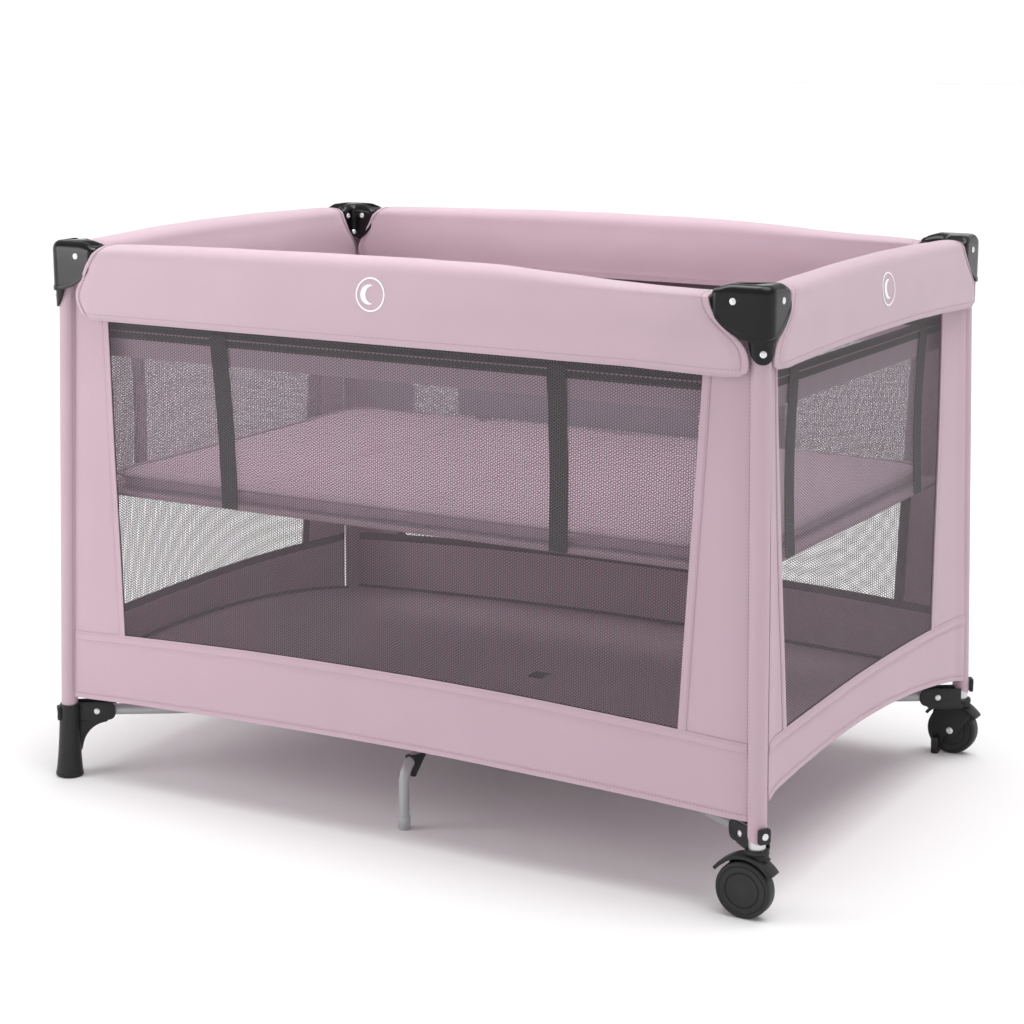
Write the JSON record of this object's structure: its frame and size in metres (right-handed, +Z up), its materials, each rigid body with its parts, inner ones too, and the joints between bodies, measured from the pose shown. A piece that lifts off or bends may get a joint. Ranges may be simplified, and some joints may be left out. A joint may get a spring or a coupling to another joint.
{
  "type": "folding travel playpen",
  "caption": "Rectangular folding playpen with padded rails, fabric and mesh walls, raised bassinet insert with mattress, two feet and two fixed wheels.",
  "frame": {"origin": "on the floor, at the centre of the whole part's box", "axes": "+Z up; X along the long sides with the wheels at +X; the side seen from the front is at -Y"},
  "size_m": [1.1076, 0.7632, 0.76],
  "materials": {
    "steel_tube": "bare bright steel tube, drawn",
    "grey_tube": "grey powder coat",
    "cap_plastic": "moulded, glossy",
    "foot_plastic": "moulded, fine grain",
    "lock_plastic": "moulded, fine grain",
    "wheel_plastic": "moulded, grooved disc",
    "rail_fabric": "woven polyester over foam",
    "wall_fabric": "woven polyester with a mesh window",
    "mesh_fabric": "knitted mesh with a dark woven band",
    "floor_fabric": "woven polyester",
    "strap_fabric": "webbing"
  },
  "bodies": {
    "corner_front_left": {"post_front_left": "steel_tube", "corner_cap_front_left": "cap_plastic", "foot_front_left": "foot_plastic", "wall_front": "wall_fabric", "wall_left": "wall_fabric", "pen_floor": "floor_fabric"},
    "corner_front_right": {"post_front_right": "steel_tube", "corner_cap_front_right": "cap_plastic", "wheel_bracket_front_right": "foot_plastic", "axle_front_right": "steel_tube", "wall_right": "wall_fabric"},
    "corner_rear_left": {"post_rear_left": "steel_tube", "corner_cap_rear_left": "cap_plastic", "foot_rear_left": "foot_plastic", "wall_rear": "wall_fabric"},
    "corner_rear_right": {"post_rear_right": "steel_tube", "corner_cap_rear_right": "cap_plastic", "wheel_bracket_rear_right": "foot_plastic", "axle_rear_right": "steel_tube"},
    "lower_tube_front_left": {"lower_tube_front_left": "grey_tube"},
    "lower_tube_front_right": {"lower_tube_front_right": "grey_tube"},
    "lower_tube_rear_left": {"lower_tube_rear_left": "grey_tube"},
    "lower_tube_rear_right": {"lower_tube_rear_right": "grey_tube"},
    "hub": {"hub": "foot_plastic", "pull_strap": "strap_fabric"},
    "centre_leg_front": {"centre_leg_front": "grey_tube"},
    "centre_leg_rear": {"centre_leg_rear": "grey_tube"},
    "rail_front_a": {"rail_front_a": "steel_tube", "rail_cover_front_a": "rail_fabric"},
    "rail_front_b": {"rail_front_b": "steel_tube", "rail_cover_front_b": "rail_fabric"},
    "rail_lock_front": {"rail_lock_front": "lock_plastic"},
    "release_button_front": {"release_button_front": "lock_plastic"},
    "rail_rear_a": {"rail_rear_a": "steel_tube", "rail_cover_rear_a": "rail_fabric"},
    "rail_rear_b": {"rail_rear_b": "steel_tube", "rail_cover_rear_b": "rail_fabric"},
    "rail_lock_rear": {"rail_lock_rear": "lock_plastic"},
    "release_button_rear": {"release_button_rear": "lock_plastic"},
    "rail_left_a": {"rail_left_a": "steel_tube", "rail_cover_left_a": "rail_fabric"},
    "rail_left_b": {"rail_left_b": "steel_tube", "rail_cover_left_b": "rail_fabric"},
    "rail_lock_left": {"rail_lock_left": "lock_plastic"},
    "release_button_left": {"release_button_left": "lock_plastic"},
    "rail_right_a": {"rail_right_a": "steel_tube", "rail_cover_right_a": "rail_fabric"},
    "rail_right_b": {"rail_right_b": "steel_tube", "rail_cover_right_b": "rail_fabric"},
    "rail_lock_right": {"rail_lock_right": "lock_plastic"},
    "release_button_right": {"release_button_right": "lock_plastic"},
    "wheel_front": {"wheel_front_right": "wheel_plastic"},
    "wheel_rear": {"wheel_rear_right": "wheel_plastic"},
    "bassinet": {"bassinet_floor": "floor_fabric", "bassinet_wall_front": "mesh_fabric", "bassinet_wall_rear": "mesh_fabric", "bassinet_wall_left": "mesh_fabric", "bassinet_wall_right": "mesh_fabric"},
    "mattress": {"mattress": "floor_fabric"}
  },
  "joints": [
    {"name": "fold", "type": "hinge", "parent": "corner_front_left", "child": "lower_tube_front_left", "pos_m": [-0.50572, -0.32979, 0.093], "axis": [0.5472, -0.837, 0], "range_deg": [0, 80], "deforming": ["wall_front", "wall_rear", "wall_left", "wall_right", "pen_floor", "bassinet_floor", "bassinet_wall_front", "bassinet_wall_rear", "bassinet_wall_left", "bassinet_wall_right", "mattress"]},
    {"name": "hub_level", "type": "hinge", "parent": "lower_tube_front_left", "child": "hub", "pos_m": [-0.05814, -0.03721, 0.093], "axis": [-0.5472, 0.837, 0], "range_deg": [0, 80]},
    {"name": "tube_front_right", "type": "hinge", "parent": "hub", "child": "lower_tube_front_right", "pos_m": [0.0557, -0.03721, 0.093], "axis": [0.5472, 0.837, 0], "range_deg": [0, 80]},
    {"name": "corner_front_right_level", "type": "hinge", "parent": "lower_tube_front_right", "child": "corner_front_right", "pos_m": [0.50328, -0.32979, 0.093], "axis": [-0.5472, -0.837, 0], "range_deg": [0, 80]},
    {"name": "tube_rear_left", "type": "hinge", "parent": "hub", "child": "lower_tube_rear_left", "pos_m": [-0.05814, 0.03721, 0.093], "axis": [-0.5472, -0.837, 0], "range_deg": [0, 80]},
    {"name": "corner_rear_left_level", "type": "hinge", "parent": "lower_tube_rear_left", "child": "corner_rear_left", "pos_m": [-0.50572, 0.32979, 0.093], "axis": [0.5472, 0.837, 0], "range_deg": [0, 80]},
    {"name": "tube_rear_right", "type": "hinge", "parent": "hub", "child": "lower_tube_rear_right", "pos_m": [0.0557, 0.03721, 0.093], "axis": [-0.5472, 0.837, 0], "range_deg": [0, 80]},
    {"name": "corner_rear_right_level", "type": "hinge", "parent": "lower_tube_rear_right", "child": "corner_rear_right", "pos_m": [0.50328, 0.32979, 0.093], "axis": [0.5472, -0.837, 0], "range_deg": [0, 80]},
    {"name": "centre_leg_front_swing", "type": "hinge", "parent": "hub", "child": "centre_leg_front", "pos_m": [-0.00122, -0.06, 0.093], "axis": [1, 0, 0], "range_deg": [0, 80]},
    {"name": "centre_leg_rear_swing", "type": "hinge", "parent": "hub", "child": "centre_leg_rear", "pos_m": [-0.00122, 0.06, 0.093], "axis": [-1, 0, 0], "range_deg": [0, 80]},
    {"name": "rail_front_a_drop", "type": "hinge", "parent": "corner_front_left", "child": "rail_front_a", "pos_m": [-0.4828, -0.34258, 0.738], "axis": [0, 1, 0], "range_deg": [0, 80]},
    {"name": "rail_lock_front_level", "type": "hinge", "parent": "rail_front_a", "child": "rail_lock_front", "pos_m": [-0.03522, -0.34258, 0.738], "axis": [0, -1, 0], "range_deg": [0, 80]},
    {"name": "rail_front_b_break", "type": "hinge", "parent": "rail_lock_front", "child": "rail_front_b", "pos_m": [0.03278, -0.34258, 0.738], "axis": [0, -1, 0], "range_deg": [0, 80]},
    {"name": "rail_rear_a_drop", "type": "hinge", "parent": "corner_rear_left", "child": "rail_rear_a", "pos_m": [-0.4828, 0.34258, 0.738], "axis": [0, 1, 0], "range_deg": [0, 80]},
    {"name": "rail_lock_rear_level", "type": "hinge", "parent": "rail_rear_a", "child": "rail_lock_rear", "pos_m": [-0.03522, 0.34258, 0.738], "axis": [0, -1, 0], "range_deg": [0, 80]},
    {"name": "rail_rear_b_break", "type": "hinge", "parent": "rail_lock_rear", "child": "rail_rear_b", "pos_m": [0.03278, 0.34258, 0.738], "axis": [0, -1, 0], "range_deg": [0, 80]},
    {"name": "rail_left_a_drop", "type": "hinge", "parent": "corner_front_left", "child": "rail_left_a", "pos_m": [-0.5148, -0.31458, 0.738], "axis": [-1, 0, 0], "range_deg": [0, 80]},
    {"name": "rail_lock_left_level", "type": "hinge", "parent": "rail_left_a", "child": "rail_lock_left", "pos_m": [-0.5148, -0.022, 0.738], "axis": [1, 0, 0], "range_deg": [0, 80]},
    {"name": "rail_left_b_break", "type": "hinge", "parent": "rail_lock_left", "child": "rail_left_b", "pos_m": [-0.5148, 0.022, 0.738], "axis": [1, 0, 0], "range_deg": [0, 80]},
    {"name": "rail_right_a_drop", "type": "hinge", "parent": "corner_front_right", "child": "rail_right_a", "pos_m": [0.51236, -0.31458, 0.738], "axis": [-1, 0, 0], "range_deg": [0, 80]},
    {"name": "rail_lock_right_level", "type": "hinge", "parent": "rail_right_a", "child": "rail_lock_right", "pos_m": [0.51236, -0.022, 0.738], "axis": [1, 0, 0], "range_deg": [0, 80]},
    {"name": "rail_right_b_break", "type": "hinge", "parent": "rail_lock_right", "child": "rail_right_b", "pos_m": [0.51236, 0.022, 0.738], "axis": [1, 0, 0], "range_deg": [0, 80]},
    {"name": "bassinet_lift", "type": "slide", "parent": "corner_front_left", "child": "bassinet", "axis": [0, 0, 1], "range_m": [0, 0.73]},
    {"name": "mattress_lift", "type": "slide", "parent": "bassinet", "child": "mattress", "axis": [0, 0, 1], "range_m": [0, 0.3]},
    {"name": "release_front", "type": "slide", "parent": "rail_lock_front", "child": "release_button_front", "axis": [0, 0, 1], "range_m": [0, 0.005], "stiffness_N_per_m": 400, "springref_m": -0.003},
    {"name": "release_rear", "type": "slide", "parent": "rail_lock_rear", "child": "release_button_rear", "axis": [0, 0, 1], "range_m": [0, 0.005], "stiffness_N_per_m": 400, "springref_m": -0.003},
    {"name": "release_left", "type": "slide", "parent": "rail_lock_left", "child": "release_button_left", "axis": [0, 0, 1], "range_m": [0, 0.005], "stiffness_N_per_m": 400, "springref_m": -0.003},
    {"name": "release_right", "type": "slide", "parent": "rail_lock_right", "child": "release_button_right", "axis": [0, 0, 1], "range_m": [0, 0.005], "stiffness_N_per_m": 400, "springref_m": -0.003},
    {"name": "wheel_front_spin", "type": "hinge", "parent": "corner_front_right", "child": "wheel_front", "pos_m": [0.51778, -0.366, 0.036], "axis": [0, 1, 0], "continuous": true},
    {"name": "wheel_rear_spin", "type": "hinge", "parent": "corner_rear_right", "child": "wheel_rear", "pos_m": [0.51778, 0.366, 0.036], "axis": [0, 1, 0], "continuous": true}
  ],
  "couplings": [
    {"joint": "hub_level", "follows": "fold", "ratio": 1},
    {"joint": "tube_front_right", "follows": "fold", "ratio": 1},
    {"joint": "corner_front_right_level", "follows": "fold", "ratio": 1},
    {"joint": "tube_rear_left", "follows": "fold", "ratio": 1},
    {"joint": "corner_rear_left_level", "follows": "fold", "ratio": 1},
    {"joint": "tube_rear_right", "follows": "fold", "ratio": 1},
    {"joint": "corner_rear_right_level", "follows": "fold", "ratio": 1},
    {"joint": "centre_leg_front_swing", "follows": "fold", "ratio": 1},
    {"joint": "centre_leg_rear_swing", "follows": "fold", "ratio": 1},
    {"joint": "rail_front_a_drop", "follows": "fold", "ratio": 1},
    {"joint": "rail_lock_front_level", "follows": "fold", "ratio": 1},
    {"joint": "rail_front_b_break", "follows": "fold", "ratio": 1},
    {"joint": "rail_rear_a_drop", "follows": "fold", "ratio": 1},
    {"joint": "rail_lock_rear_level", "follows": "fold", "ratio": 1},
    {"joint": "rail_rear_b_break", "follows": "fold", "ratio": 1},
    {"joint": "rail_left_a_drop", "follows": "fold", "ratio": 1},
    {"joint": "rail_lock_left_level", "follows": "fold", "ratio": 1},
    {"joint": "rail_left_b_break", "follows": "fold", "ratio": 1},
    {"joint": "rail_right_a_drop", "follows": "fold", "ratio": 1},
    {"joint": "rail_lock_right_level", "follows": "fold", "ratio": 1},
    {"joint": "rail_right_b_break", "follows": "fold", "ratio": 1},
    {"joint": "bassinet_lift", "follows": "fold", "m_per_rad": 0.52}
  ]
}
